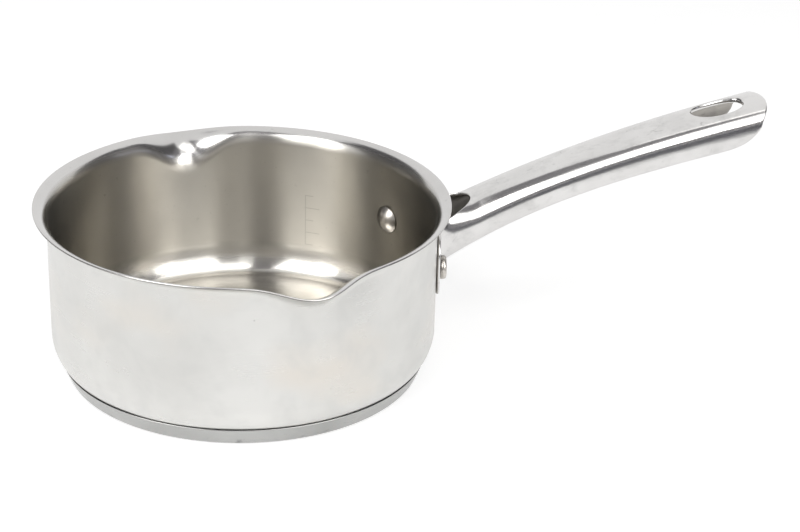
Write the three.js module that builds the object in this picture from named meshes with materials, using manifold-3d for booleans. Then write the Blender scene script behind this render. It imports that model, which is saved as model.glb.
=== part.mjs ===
// A small stainless steel saucepan: a drawn shell with a flared lip and two pouring spouts,
// a capsule base with an aluminium core, and a hollow sheet handle held by two rivets.
// Millimetres. The origin is the centre of the base's underside, +Z is up, the handle runs along +X.
import * as THREE from "three";
import { mergeVertices } from "three/addons/utils/BufferGeometryUtils.js";
import Module from "manifold-3d";

// Pan shell
const PAN_RADIUS = 80.6;
const PAN_SHEET = 0.7;
const PAN_UNDERSIDE = 5.3;
const CORNER_RADIUS = 15.5;
const SEAM_INSET = 3.6;
const SEAM_HEIGHT = 7.9;
const LIP_REACH = 5.6;
const LIP_HEIGHT = 72.6;
const LIP_TURN = THREE.MathUtils.degToRad(85);

// Pouring spouts, a quarter turn to each side of the handle
const SPOUT_REACH = 12.8;
const SPOUT_HEIGHT = 69;
const SPOUT_TURN = THREE.MathUtils.degToRad(78);
const SPOUT_HALF_ANGLE = THREE.MathUtils.degToRad(28.5);
const SPOUT_SHARPNESS = 6;

// Capsule base
const CAP_SHEET = 0.6;
const CAP_SEAM_LINE = 0.3;
const CAP_OVERHANG = 0.3;
const CAP_SLANT = THREE.MathUtils.degToRad(22.5);
const CAP_EDGE_RADIUS = 1.5;
const CAP_EDGE_BEVEL = 0.9;
const CORE_SHOULDER = 0.36;

// Handle tube: its centre line, counted out from the pan's wall and up from the strap's centre
const HANDLE_HEIGHT = 44;
const HANDLE_ROOT = new THREE.Vector2(-4.6, -3.2);
const HANDLE_ROOT_SLOPE = THREE.MathUtils.degToRad(25.5);
const HANDLE_TIP = new THREE.Vector2(171.4, 38);
const HANDLE_TIP_SLOPE = THREE.MathUtils.degToRad(7);
const HANDLE_REACH = 60;
const ROOT_WIDTH = 27;
const TIP_WIDTH = 28.5;
const WAIST_WIDTH = 3.4;
const ROOT_DEPTH = 20.8;
const TIP_DEPTH = 20.2;
const WAIST_DEPTH = 2.8;
const TUBE_POWER = 2.7;
const HANDLE_SHEET = 1.3;
const SEAM_SLOT = 3;

// Strap that the tube opens into, bent to the pan's wall
const STRAP_WIDTH = 68.4;
const STRAP_DEPTH = 26;
const STRAP_CORNER = 8;
const ROOT_FILLET = 9;
const ROOT_DROP = 2.5;
const ROOT_RISE = 6;
const RISE_LENGTH = 22;
const BEND_FADE = 24;

// Mouth at the root of the tube: half an oval cut back into its top
const MOUTH_BACK = -0.6;
const MOUTH_END = 21.5;
const MOUTH_HALF_WIDTH = 11.6;
const MOUTH_FLOOR = 5;

// Oval hang hole near the tip, with its edge rounded and turned in
const HOLE_CENTRE = 141.4;
const HOLE_HALF_LENGTH = 12.3;
const HOLE_HALF_WIDTH = 7;
const HOLE_POWER = 2.3;
const HOLE_ROUND = 1.3;
const COLLAR_SHEET = 1.1;
const COLLAR_DEPTH = 2.4;

// Tip: rounded in plan, its sides swept back underneath
const TIP_SIDE = 155.2;
const TIP_BULGE = 8.5;
const TIP_HALF_WIDTH = 14.6;
const TIP_SWEEP = [
  new THREE.Vector2(131.4, 23),
  new THREE.Vector2(147.4, 28.4),
  new THREE.Vector2(155.4, 34.8),
  new THREE.Vector2(158.8, 40),
  new THREE.Vector2(162.2, 44.6),
  new THREE.Vector2(168.4, 50),
];

// Rivets
const RIVET_DROP = 1;
const RIVET_SPREAD = 28;
const RIVET_RADIUS = 2.6;
const RIVET_INNER_HEAD = 6.2;
const RIVET_INNER_RISE = 3;
const RIVET_OUTER_HEAD = 5;
const RIVET_OUTER_RISE = 2.5;
const RIVET_EDGE = 1.2;

// Clearances between pieces
const FIT_GAP = 0.25;
const RIVET_GAP = 0.3;

// Fineness of the curves
const PAN_STEPS = 88;
const SPOUT_CROWDING = 0.35;
const BASE_STEPS = 72;
const RIVET_STEPS = 22;
const TUBE_STEPS = 32;
const TUBE_STATIONS = 26;
const ROOT_CROWDING = 1.5;
const HOLE_STEPS = 36;
const STRAP_STEPS = 144;

// How far a cutting solid runs past what it cuts
const OVERRUN = 40;

const wasm = await Module();
wasm.setup();

const seamRadius = PAN_RADIUS - SEAM_INSET;
const capTop = SEAM_HEIGHT - CAP_SEAM_LINE;
const capTopRadius = seamRadius + CAP_OVERHANG;
const strapInside = PAN_RADIUS + FIT_GAP;
const strapOutside = strapInside + HANDLE_SHEET;
const rivetAngle = RIVET_SPREAD / strapOutside;

// A point of the handle's side view, placed against the pan
function onHandle(point) {
  return new THREE.Vector2(PAN_RADIUS + point.x, HANDLE_HEIGHT + point.y);
}

const handleRoot = onHandle(HANDLE_ROOT);
const handleTip = onHandle(HANDLE_TIP);
const mouthBack = PAN_RADIUS + MOUTH_BACK;
const mouthEnd = PAN_RADIUS + MOUTH_END;
const holeCentre = PAN_RADIUS + HOLE_CENTRE;
const tipSideStart = PAN_RADIUS + TIP_SIDE;
const tipSweep = TIP_SWEEP.map(onHandle);

function solidOf(geometry) {
  const bare = geometry.clone();
  bare.deleteAttribute("normal");
  bare.deleteAttribute("uv");
  const merged = mergeVertices(bare, 1e-5);
  const mesh = new wasm.Mesh({
    numProp: 3,
    vertProperties: new Float32Array(merged.attributes.position.array),
    triVerts: new Uint32Array(merged.index.array),
  });
  return new wasm.Manifold(mesh);
}

function geometryOf(solid) {
  const mesh = solid.getMesh();
  const geometry = new THREE.BufferGeometry();
  geometry.setAttribute("position", new THREE.BufferAttribute(new Float32Array(mesh.vertProperties), 3));
  geometry.setIndex(new THREE.BufferAttribute(new Uint32Array(mesh.triVerts), 1));
  return geometry;
}

// A closed skin through rings of points, with a fan over its first and its last ring
function loft(rings) {
  const count = rings[0].length;
  const positions = [];
  const index = [];
  for (const ring of rings) {
    for (const point of ring) positions.push(point.x, point.y, point.z);
  }
  for (let i = 0; i + 1 < rings.length; i++) {
    for (let j = 0; j < count; j++) {
      const a = i * count + j;
      const b = i * count + ((j + 1) % count);
      index.push(a, b, b + count, a, b + count, a + count);
    }
  }
  const first = rings[0];
  const last = rings[rings.length - 1];
  for (const ring of [first, last]) {
    const middle = new THREE.Vector3();
    for (const point of ring) middle.addScaledVector(point, 1 / count);
    const centre = positions.length / 3;
    positions.push(middle.x, middle.y, middle.z);
    const start = ring === first ? 0 : (rings.length - 1) * count;
    for (let j = 0; j < count; j++) {
      const a = start + j;
      const b = start + ((j + 1) % count);
      if (ring === first) index.push(centre, b, a);
      else index.push(centre, a, b);
    }
  }
  const geometry = new THREE.BufferGeometry();
  geometry.setAttribute("position", new THREE.Float32BufferAttribute(positions, 3));
  geometry.setIndex(index);
  return geometry;
}

// A turned piece about +Z; its outline runs from the axis, outside first, back to the axis
function turned(outline, steps) {
  return new THREE.LatheGeometry(outline, steps).rotateX(Math.PI / 2);
}

// A side outline in X and Z, drawn out to a width along Y
function slab(shape, width) {
  const geometry = new THREE.ExtrudeGeometry(shape, { depth: width, bevelEnabled: false, curveSegments: 10 });
  return geometry.rotateX(Math.PI / 2).translate(0, width / 2, 0);
}

// Points of an arc about a centre, the angle counted downwards from the outward direction
function arc(centre, radius, from, to, steps) {
  const points = [];
  for (let i = 0; i <= steps; i++) {
    const angle = THREE.MathUtils.lerp(from, to, i / steps);
    const across = radius * Math.cos(angle);
    points.push(new THREE.Vector2(centre.x + across, centre.y - radius * Math.sin(angle)));
  }
  return points;
}

// Lower corner of the shell: a wide arc down to the seam and a tighter heel behind the cap
const cornerTurn = Math.acos(1 - SEAM_INSET / CORNER_RADIUS);
const cornerCentre = new THREE.Vector2(
  PAN_RADIUS - CORNER_RADIUS,
  SEAM_HEIGHT + CORNER_RADIUS * Math.sin(cornerTurn),
);
const heelRadius = (SEAM_HEIGHT - PAN_UNDERSIDE) / (1 - Math.sin(cornerTurn));
const heelCentre = new THREE.Vector2(
  seamRadius - heelRadius * Math.cos(cornerTurn),
  PAN_UNDERSIDE + heelRadius,
);

// How far the lip is drawn out into a spout at an angle about the pan's axis
function spoutAt(theta) {
  const away = Math.acos(Math.abs(Math.sin(theta)));
  if (away >= SPOUT_HALF_ANGLE) return 0;
  return Math.cos((Math.PI / 2) * (away / SPOUT_HALF_ANGLE)) ** SPOUT_SHARPNESS;
}

// One face of the shell at an angle, from the floor's edge to the lip; inset is 0 outside
function shellFace(theta, inset) {
  const spout = spoutAt(theta);
  const turn = THREE.MathUtils.lerp(LIP_TURN, SPOUT_TURN, spout);
  const lipRadius = PAN_RADIUS + THREE.MathUtils.lerp(LIP_REACH, SPOUT_REACH, spout);
  const lipHeight = THREE.MathUtils.lerp(LIP_HEIGHT, SPOUT_HEIGHT, spout);
  const flareRadius = (lipRadius - PAN_RADIUS) / (1 - Math.cos(turn));
  const flareStart = lipHeight - flareRadius * Math.sin(turn);
  const heel = arc(heelCentre, heelRadius - inset, Math.PI / 2, cornerTurn, 3);
  const corner = arc(cornerCentre, CORNER_RADIUS - inset, cornerTurn, 0, 3).slice(1);
  const flareCentre = new THREE.Vector2(PAN_RADIUS + flareRadius, flareStart);
  const flare = arc(flareCentre, flareRadius + inset, Math.PI, Math.PI + turn, 6);
  return [...heel, ...corner, ...flare];
}

function makePanBody() {
  const sections = [];
  for (let j = 0; j < PAN_STEPS; j++) {
    const even = (2 * Math.PI * j) / PAN_STEPS;
    const theta = even + (SPOUT_CROWDING / 2) * Math.sin(2 * even);
    const around = [...shellFace(theta, 0), ...shellFace(theta, PAN_SHEET).reverse()];
    const place = (p) => new THREE.Vector3(p.x * Math.cos(theta), p.x * Math.sin(theta), p.y);
    sections.push(around.map(place));
  }
  const rings = sections[0].map((_, i) => sections.map((section) => section[i]));
  return solidOf(loft(rings)).subtract(rivetHole(1)).subtract(rivetHole(-1));
}

// Radius of the cap's slanted side at a height, moved in by an inset square to it
function capSide(height, inset) {
  return capTopRadius - (capTop - height) * Math.tan(CAP_SLANT) - inset / Math.cos(CAP_SLANT);
}

const capEdgeHeight = CAP_EDGE_RADIUS * (1 - Math.sin(CAP_SLANT));
const capEdgeCentre = new THREE.Vector2(
  capSide(capEdgeHeight, 0) - CAP_EDGE_RADIUS * Math.cos(CAP_SLANT),
  CAP_EDGE_RADIUS,
);

function makeBaseCap() {
  const inner = capTop - CAP_EDGE_BEVEL;
  const outline = [
    new THREE.Vector2(0, 0),
    ...arc(capEdgeCentre, CAP_EDGE_RADIUS, Math.PI / 2, CAP_SLANT, 3),
    new THREE.Vector2(capTopRadius, capTop),
    new THREE.Vector2(capSide(inner, CAP_SHEET), inner),
    ...arc(capEdgeCentre, CAP_EDGE_RADIUS - CAP_SHEET, CAP_SLANT, Math.PI / 2, 2),
    new THREE.Vector2(0, CAP_SHEET),
  ];
  return turned(outline, BASE_STEPS);
}

function makeBaseCore() {
  const floor = CAP_SHEET + FIT_GAP;
  const inset = CAP_SHEET + FIT_GAP;
  const roof = PAN_UNDERSIDE - FIT_GAP;
  const shoulder = THREE.MathUtils.lerp(cornerTurn, Math.PI / 2, CORE_SHOULDER);
  const under = arc(heelCentre, heelRadius + FIT_GAP, shoulder, Math.PI / 2, 3);
  const outline = [
    new THREE.Vector2(0, floor),
    ...arc(capEdgeCentre, CAP_EDGE_RADIUS - inset, Math.PI / 2, CAP_SLANT, 2),
    new THREE.Vector2(capSide(roof, inset), roof),
    ...under,
    new THREE.Vector2(0, roof),
  ];
  return turned(outline, BASE_STEPS);
}

// The handle's centre line, running on past both ends
const rootAim = new THREE.Vector2(Math.cos(HANDLE_ROOT_SLOPE), Math.sin(HANDLE_ROOT_SLOPE));
const tipAim = new THREE.Vector2(Math.cos(HANDLE_TIP_SLOPE), Math.sin(HANDLE_TIP_SLOPE));
const centreLine = new THREE.CubicBezierCurve(
  handleRoot,
  handleRoot.clone().addScaledVector(rootAim, HANDLE_REACH),
  handleTip.clone().addScaledVector(tipAim, -HANDLE_REACH),
  handleTip,
);

// How far the tube has drawn in: 1 a third of the way along, where it is slimmest, 0 at its ends
function waist(t) {
  return (27 / 4) * t * (1 - t) ** 2;
}

function tubeHalfWidth(t) {
  return (THREE.MathUtils.lerp(ROOT_WIDTH, TIP_WIDTH, t) - WAIST_WIDTH * waist(t)) / 2;
}

function tubeHalfDepth(t) {
  return (THREE.MathUtils.lerp(ROOT_DEPTH, TIP_DEPTH, t) - WAIST_DEPTH * waist(t)) / 2;
}

// A rounded section of the tube at a station; near the pan it opens out into the strap
function tubeSection(t, inset) {
  const centre = centreLine.getPoint(t);
  const ahead = centreLine.getPoint(t + 0.001).sub(centreLine.getPoint(t - 0.001)).normalize();
  const halfWidth = tubeHalfWidth(t) - inset;
  const halfDepth = tubeHalfDepth(t) - inset;
  const fillet = ROOT_FILLET + inset;
  const ring = [];
  for (let j = 0; j < TUBE_STEPS; j++) {
    const angle = (2 * Math.PI * j) / TUBE_STEPS;
    const side = Math.sign(Math.cos(angle)) * Math.abs(Math.cos(angle)) ** (2 / TUBE_POWER);
    const rise = Math.sign(Math.sin(angle)) * Math.abs(Math.sin(angle)) ** (2 / TUBE_POWER);
    const x = centre.x - ahead.y * halfDepth * rise;
    const z = centre.y + ahead.x * halfDepth * rise;
    const short = THREE.MathUtils.clamp(strapOutside + ROOT_FILLET - x, 0, fillet);
    const spread = fillet - Math.sqrt(fillet ** 2 - short ** 2);
    const y = side * (halfWidth + spread);
    const hood = ROOT_RISE * THREE.MathUtils.smoothstep(strapOutside + RISE_LENGTH - x, 0, RISE_LENGTH);
    const shift = rise * (rise < 0 ? (spread * ROOT_DROP) / fillet : hood);
    const fade = THREE.MathUtils.smoothstep(strapOutside + BEND_FADE - x, 0, BEND_FADE);
    const bend = strapOutside - Math.sqrt(strapOutside ** 2 - y ** 2);
    ring.push(new THREE.Vector3(x - fade * bend, y, z + shift));
  }
  return ring;
}

function tube(inset, from, to) {
  const rings = [];
  for (let i = 0; i <= TUBE_STATIONS; i++) {
    const t = THREE.MathUtils.lerp(from, to, (i / TUBE_STATIONS) ** ROOT_CROWDING);
    rings.push(tubeSection(t, inset));
  }
  return solidOf(loft(rings));
}

// A plate bent round the pan, with rounded corners
function strap() {
  const half = STRAP_WIDTH / 2 - STRAP_CORNER;
  const low = HANDLE_HEIGHT - STRAP_DEPTH / 2 + STRAP_CORNER;
  const high = HANDLE_HEIGHT + STRAP_DEPTH / 2 - STRAP_CORNER;
  const outline = new THREE.Shape();
  outline.absarc(half, low, STRAP_CORNER, -Math.PI / 2, 0);
  outline.absarc(half, high, STRAP_CORNER, 0, Math.PI / 2);
  outline.absarc(-half, high, STRAP_CORNER, Math.PI / 2, Math.PI);
  outline.absarc(-half, low, STRAP_CORNER, Math.PI, 1.5 * Math.PI);
  const settings = { depth: strapOutside + OVERRUN, bevelEnabled: false, curveSegments: 6 };
  const turn = new THREE.Matrix4().makeBasis(
    new THREE.Vector3(0, 1, 0),
    new THREE.Vector3(0, 0, 1),
    new THREE.Vector3(1, 0, 0),
  );
  const block = solidOf(new THREE.ExtrudeGeometry(outline, settings).applyMatrix4(turn));
  const top = HANDLE_HEIGHT + STRAP_DEPTH;
  const full = [
    new THREE.Vector2(0, 0),
    new THREE.Vector2(strapOutside, 0),
    new THREE.Vector2(strapOutside, top),
    new THREE.Vector2(0, top),
  ];
  return solidOf(turned(full, STRAP_STEPS)).intersect(block);
}

// Everything inside the strap's inner face
function panSide() {
  const outline = [
    new THREE.Vector2(0, -OVERRUN),
    new THREE.Vector2(strapInside, -OVERRUN),
    new THREE.Vector2(strapInside, 2 * LIP_HEIGHT),
    new THREE.Vector2(0, 2 * LIP_HEIGHT),
  ];
  return solidOf(turned(outline, STRAP_STEPS));
}

function mouth() {
  const shape = new THREE.Shape();
  shape.moveTo(mouthBack - OVERRUN, -MOUTH_HALF_WIDTH);
  shape.lineTo(mouthBack, -MOUTH_HALF_WIDTH);
  shape.absellipse(mouthBack, 0, mouthEnd - mouthBack, MOUTH_HALF_WIDTH, -Math.PI / 2, Math.PI / 2);
  shape.lineTo(mouthBack - OVERRUN, MOUTH_HALF_WIDTH);
  const settings = { depth: OVERRUN, bevelEnabled: false, curveSegments: 28 };
  return solidOf(new THREE.ExtrudeGeometry(shape, settings).translate(0, 0, HANDLE_HEIGHT + MOUTH_FLOOR));
}

// The seam underneath, where the rolled sheet's edges face each other
function seamSlot() {
  const shape = new THREE.Shape();
  shape.moveTo(handleRoot.x - OVERRUN, 0);
  shape.lineTo(handleTip.x + OVERRUN, 0);
  shape.lineTo(handleTip.x + OVERRUN, handleTip.y);
  for (let i = 8; i >= 0; i--) {
    const point = centreLine.getPoint(i / 8);
    shape.lineTo(point.x, point.y);
  }
  shape.lineTo(handleRoot.x - OVERRUN, handleRoot.y);
  return solidOf(slab(shape, SEAM_SLOT));
}

// The station whose top lies over a distance along the handle
function stationUnder(distance) {
  let near = 0;
  let far = 1;
  for (let k = 0; k < 30; k++) {
    const half = (near + far) / 2;
    if (tubeSection(half, 0)[TUBE_STEPS / 4].x < distance) near = half;
    else far = half;
  }
  return near;
}

// Oval rings round the hang hole, each grown by a margin, at a depth below the tube's outside
function holeRings(levels) {
  const t = stationUnder(holeCentre);
  const top = tubeSection(t, 0)[TUBE_STEPS / 4];
  const ahead = tubeSection(t + 0.02, 0)[TUBE_STEPS / 4].sub(top);
  return levels.map(({ margin, depth }) => {
    const ring = [];
    for (let j = 0; j < HOLE_STEPS; j++) {
      const angle = (2 * Math.PI * j) / HOLE_STEPS;
      const along = Math.sign(Math.cos(angle)) * Math.abs(Math.cos(angle)) ** (2 / HOLE_POWER);
      const across = Math.sign(Math.sin(angle)) * Math.abs(Math.sin(angle)) ** (2 / HOLE_POWER);
      const x = along * (HOLE_HALF_LENGTH + margin);
      const y = across * (HOLE_HALF_WIDTH + margin);
      const fall = 1 - (1 - Math.abs(y / tubeHalfWidth(t)) ** TUBE_POWER) ** (1 / TUBE_POWER);
      const z = top.z + (x * ahead.z) / ahead.x - fall * tubeHalfDepth(t) - depth;
      ring.push(new THREE.Vector3(holeCentre + x, y, z));
    }
    return ring;
  });
}

function holeCollar() {
  const levels = [COLLAR_DEPTH, HANDLE_SHEET / 2].map((depth) => ({ margin: COLLAR_SHEET, depth }));
  return solidOf(loft(holeRings(levels)));
}

function holeCut() {
  const levels = [{ margin: 0, depth: COLLAR_DEPTH + HANDLE_SHEET }];
  const steps = 3;
  for (let i = 0; i <= steps; i++) {
    const angle = ((Math.PI / 2) * 0.85 * i) / steps;
    const margin = HOLE_ROUND * (1 - Math.cos(angle));
    levels.push({ margin, depth: HOLE_ROUND * (1 - Math.sin(angle)) });
  }
  levels.push({ ...levels[steps + 1], depth: -COLLAR_DEPTH });
  return solidOf(loft(holeRings(levels)));
}

// What is kept at the tip
function tipPlan() {
  const shape = new THREE.Shape();
  shape.moveTo(0, -TIP_HALF_WIDTH - OVERRUN);
  shape.lineTo(tipSideStart, -TIP_HALF_WIDTH - OVERRUN);
  shape.lineTo(tipSideStart, -TIP_HALF_WIDTH);
  shape.absellipse(tipSideStart, 0, TIP_BULGE, TIP_HALF_WIDTH, -Math.PI / 2, Math.PI / 2);
  shape.lineTo(tipSideStart, TIP_HALF_WIDTH + OVERRUN);
  shape.lineTo(0, TIP_HALF_WIDTH + OVERRUN);
  const settings = { depth: 3 * HANDLE_TIP.x, bevelEnabled: false, curveSegments: 24 };
  return solidOf(new THREE.ExtrudeGeometry(shape, settings));
}

function tipSide() {
  const shape = new THREE.Shape();
  const first = tipSweep[0];
  const last = tipSweep[tipSweep.length - 1];
  shape.moveTo(0, 0);
  shape.lineTo(first.x, 0);
  shape.lineTo(first.x, first.y);
  shape.splineThru(tipSweep.slice(1));
  shape.lineTo(last.x, last.y + OVERRUN);
  shape.lineTo(0, last.y + OVERRUN);
  return solidOf(slab(shape, 2 * OVERRUN));
}

function makeHandle() {
  const past = 0.05;
  const hollow = tube(HANDLE_SHEET, -past, 1 + past);
  return tube(0, 0, 1)
    .add(strap())
    .subtract(hollow)
    .subtract(seamSlot())
    .subtract(mouth())
    .add(holeCollar())
    .subtract(holeCut())
    .intersect(tipPlan())
    .intersect(tipSide())
    .subtract(panSide())
    .subtract(rivetHole(1))
    .subtract(rivetHole(-1));
}

// Places a piece made about +Z so that it points out of the pan through a rivet's centre
function atRivet(geometry, hand) {
  return geometry.rotateY(Math.PI / 2).rotateZ(hand * rivetAngle).translate(0, 0, HANDLE_HEIGHT - RIVET_DROP);
}

function rivetHole(hand) {
  const radius = RIVET_RADIUS + RIVET_GAP;
  const outline = [
    new THREE.Vector2(0, PAN_RADIUS - OVERRUN),
    new THREE.Vector2(radius, PAN_RADIUS - OVERRUN),
    new THREE.Vector2(radius, PAN_RADIUS + OVERRUN),
    new THREE.Vector2(0, PAN_RADIUS + OVERRUN),
  ];
  return solidOf(atRivet(turned(outline, RIVET_STEPS), hand));
}

// A rivet: a domed head inside, a shank and a flat round head outside
function makeRivet(hand) {
  const panInside = PAN_RADIUS - PAN_SHEET;
  const seat = Math.sqrt(panInside ** 2 - RIVET_INNER_HEAD ** 2) - FIT_GAP;
  const domeRadius = (RIVET_INNER_HEAD ** 2 + RIVET_INNER_RISE ** 2) / (2 * RIVET_INNER_RISE);
  const domeTurn = Math.asin(RIVET_INNER_HEAD / domeRadius);
  const domeCentre = new THREE.Vector2(0, seat - RIVET_INNER_RISE + domeRadius);
  const dome = arc(domeCentre, domeRadius, Math.PI / 2, Math.PI / 2 - domeTurn, 5);
  const face = strapOutside + FIT_GAP;
  const edge = new THREE.Vector2(RIVET_OUTER_HEAD - RIVET_EDGE, face + RIVET_OUTER_RISE - RIVET_EDGE);
  const outline = [
    ...dome,
    new THREE.Vector2(RIVET_RADIUS, seat),
    new THREE.Vector2(RIVET_RADIUS, face),
    new THREE.Vector2(RIVET_OUTER_HEAD, face),
    ...arc(edge, RIVET_EDGE, 0, -Math.PI / 2, 3),
    new THREE.Vector2(0, face + RIVET_OUTER_RISE),
  ];
  return atRivet(turned(outline, RIVET_STEPS), hand);
}

const satinSteel = new THREE.MeshStandardMaterial({ color: 0xd9d8d4, roughness: 0.32, metalness: 1 });
const turnedSteel = new THREE.MeshStandardMaterial({ color: 0xbdbcba, roughness: 0.36, metalness: 1 });
const polishedSteel = new THREE.MeshStandardMaterial({ color: 0xdcdbda, roughness: 0.16, metalness: 1 });
const rivetSteel = new THREE.MeshStandardMaterial({ color: 0xc4beb6, roughness: 0.24, metalness: 1 });
const aluminium = new THREE.MeshStandardMaterial({ color: 0xb9bbbd, roughness: 0.5, metalness: 1 });

const saucepan = new THREE.Group();
saucepan.name = "saucepan";

function addPiece(name, geometry, material) {
  const mesh = new THREE.Mesh(geometry, material);
  mesh.name = name;
  saucepan.add(mesh);
}

addPiece("pan_body", geometryOf(makePanBody()), satinSteel);
addPiece("base_core", makeBaseCore(), aluminium);
addPiece("base_cap", makeBaseCap(), turnedSteel);
addPiece("handle", geometryOf(makeHandle()), polishedSteel);
addPiece("near_rivet", makeRivet(-1), rivetSteel);
addPiece("far_rivet", makeRivet(1), rivetSteel);

export default saucepan;
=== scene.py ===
"""A small stainless steel saucepan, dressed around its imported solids.

Shapes are worked out in millimetres and turned into metres when a mesh is made.
"""
import math

import bmesh
import bpy
import numpy as np
from mathutils import Matrix


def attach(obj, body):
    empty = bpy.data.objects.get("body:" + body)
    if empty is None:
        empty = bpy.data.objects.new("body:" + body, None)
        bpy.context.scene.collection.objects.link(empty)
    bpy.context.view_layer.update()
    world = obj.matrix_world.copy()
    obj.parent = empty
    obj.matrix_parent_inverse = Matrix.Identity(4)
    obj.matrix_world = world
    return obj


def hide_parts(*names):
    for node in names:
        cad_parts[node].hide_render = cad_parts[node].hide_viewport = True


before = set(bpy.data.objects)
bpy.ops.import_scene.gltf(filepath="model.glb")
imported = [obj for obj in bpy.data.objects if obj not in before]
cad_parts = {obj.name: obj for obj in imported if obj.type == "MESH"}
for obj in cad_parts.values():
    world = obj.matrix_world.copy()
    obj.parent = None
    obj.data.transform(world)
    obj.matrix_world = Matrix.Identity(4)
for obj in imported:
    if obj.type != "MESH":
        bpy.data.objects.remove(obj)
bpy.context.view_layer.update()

MM = 0.001

# Pan shell
PAN_RADIUS = 80.6
PAN_SHEET = 0.7
PAN_UNDERSIDE = 5.3
CORNER_RADIUS = 15.5
SEAM_INSET = 3.6
SEAM_HEIGHT = 7.9
LIP_REACH = 5.6
LIP_HEIGHT = 72.6
LIP_TURN = math.radians(85)

# Pouring spouts
SPOUT_REACH = 12.8
SPOUT_HEIGHT = 69.0
SPOUT_TURN = math.radians(78)
SPOUT_HALF_ANGLE = math.radians(28.5)
SPOUT_SHARPNESS = 6

# Capsule base
CAP_SHEET = 0.6
CAP_SEAM_LINE = 0.3
CAP_OVERHANG = 0.3
CAP_SLANT = math.radians(22.5)
CAP_EDGE_RADIUS = 1.5
CAP_EDGE_BEVEL = 0.9

# Handle tube, counted out from the pan's wall and up from the strap's centre
HANDLE_HEIGHT = 44.0
HANDLE_ROOT = (-4.6, -3.2)
HANDLE_ROOT_SLOPE = math.radians(25.5)
HANDLE_TIP = (171.4, 38.0)
HANDLE_TIP_SLOPE = math.radians(7)
HANDLE_REACH = 60.0
ROOT_WIDTH = 27.0
TIP_WIDTH = 28.5
WAIST_WIDTH = 3.4
ROOT_DEPTH = 20.8
TIP_DEPTH = 20.2
WAIST_DEPTH = 2.8
TUBE_POWER = 2.7
HANDLE_SHEET = 1.3
HANDLE_EDGE = 0.4
SEAM_SLOT = 3.0

# Ears that the tube opens into
STRAP_WIDTH = 68.4
STRAP_DEPTH = 26.0
STRAP_CORNER = 8.0
ROOT_FILLET = 9.0
ROOT_DROP = 2.5
ROOT_RISE = 6.0
RISE_LENGTH = 22.0
BEND_FADE = 24.0

# Mouth, hang hole and tip of the handle
MOUTH_BACK = -0.6
MOUTH_END = 21.5
MOUTH_HALF_WIDTH = 11.6
MOUTH_FLOOR = 5.0
HOLE_CENTRE = 141.4
HOLE_HALF_LENGTH = 12.3
HOLE_HALF_WIDTH = 7.0
HOLE_POWER = 2.3
HOLE_ROUND = 1.3
COLLAR_SHEET = 1.1
COLLAR_DEPTH = 2.4
TIP_SIDE = 155.2
TIP_BULGE = 8.5
TIP_HALF_WIDTH = 14.6
TIP_SWEEP = [(131.4, 23), (147.4, 28.4), (155.4, 34.8), (158.8, 40), (162.2, 44.6), (168.4, 50)]

# Rivets
RIVET_DROP = 1.0
RIVET_SPREAD = 28.0
RIVET_RADIUS = 2.6
RIVET_INNER_HEAD = 6.2
RIVET_INNER_RISE = 3.0
RIVET_OUTER_HEAD = 5.0
RIVET_OUTER_RISE = 2.5
RIVET_EDGE = 1.2

FIT_GAP = 0.25

# Measuring scale etched into the inner wall
SCALE_TURN = math.radians(51.6)
SCALE_LINE = 0.4
SCALE_LEVELS = [20.0, 26.0, 32.0, 38.0, 44.0]
SCALE_LONG_TICK = 7.0
SCALE_SHORT_TICK = 4.0

# Steel surfaces: depth of the relief, and the bands in which one finish turns into the next
SATIN_RELIEF = 0.006
BASE_RELIEF = 0.01
WALL_RELIEF = 0.0008
FLOOR_RELIEF = 0.0025
POLISH_RELIEF = 0.004
BUMP_STRENGTH = 0.2
QUARTER_TURN = 0.25
LIP_BAND = (0.3, 2.2)
FLOOR_BAND = (8.0, 20.0)
KNOCK_BAND = (1.2, 2.8)

# Noise in the steel: scales per metre, along the lines and across them, and the values that show
LINE_SCALES = (14.0, 3600.0)
STREAK_SCALES = (30.0, 650.0)
GRAIN_SCALES = (60.0, 2200.0)
PIT_SCALE = 95.0
CLOUDED = (0.35, 0.7)
SCUFFED = (0.68, 0.78)

# Steps of the meshes
PAN_STEPS = 360
PAN_FLOOR_RINGS = 26
HEEL_STEPS = 10
CORNER_STEPS = 24
WALL_STEPS = 12
FLARE_STEPS = 26
EDGE_STEPS = 8
CAP_STEPS = 288
CAP_MIDDLE = 6.0
CAP_FLOOR_RINGS = 12
CAP_SIDE_STEPS = 10
CAP_EDGE_STEPS = 10
CAP_INNER_STEPS = 6
RIVET_STEPS = 48
DOME_STEPS = 16
RIVET_EDGE_STEPS = 10
HANDLE_ROWS = 169
HANDLE_COLUMNS = 220
ROOT_CROWDING = 0.45
EAR_STEPS = 60
SWEEP_STEPS = 24
HOLE_MARGIN_BACK = 2.2
HOLE_MARGIN_AHEAD = 1.2
HOLE_MARGIN_BESIDE = 2.4
HOLE_MARGIN_BELOW = 8.0

# Searches along the handle
STATIONS = 2400
SAME_POINT = 1e-6
EAR_SEARCH_REACH = 6
EAR_SEARCH_STEPS = 2000
TOP_STATIONS = (0.4, 1.05)
HALVINGS = 40

# Camera, fitted to the photographed outlines
CAMERA_PLACE = (-251.3, -773.4, 415.8)
CAMERA_HEADING = math.radians(22.61)
CAMERA_DROP = math.radians(24.577)
CAMERA_ROLL = math.radians(1.419)
CAMERA_LENS = 95.936
SENSOR_WIDTH = 36.0

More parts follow.
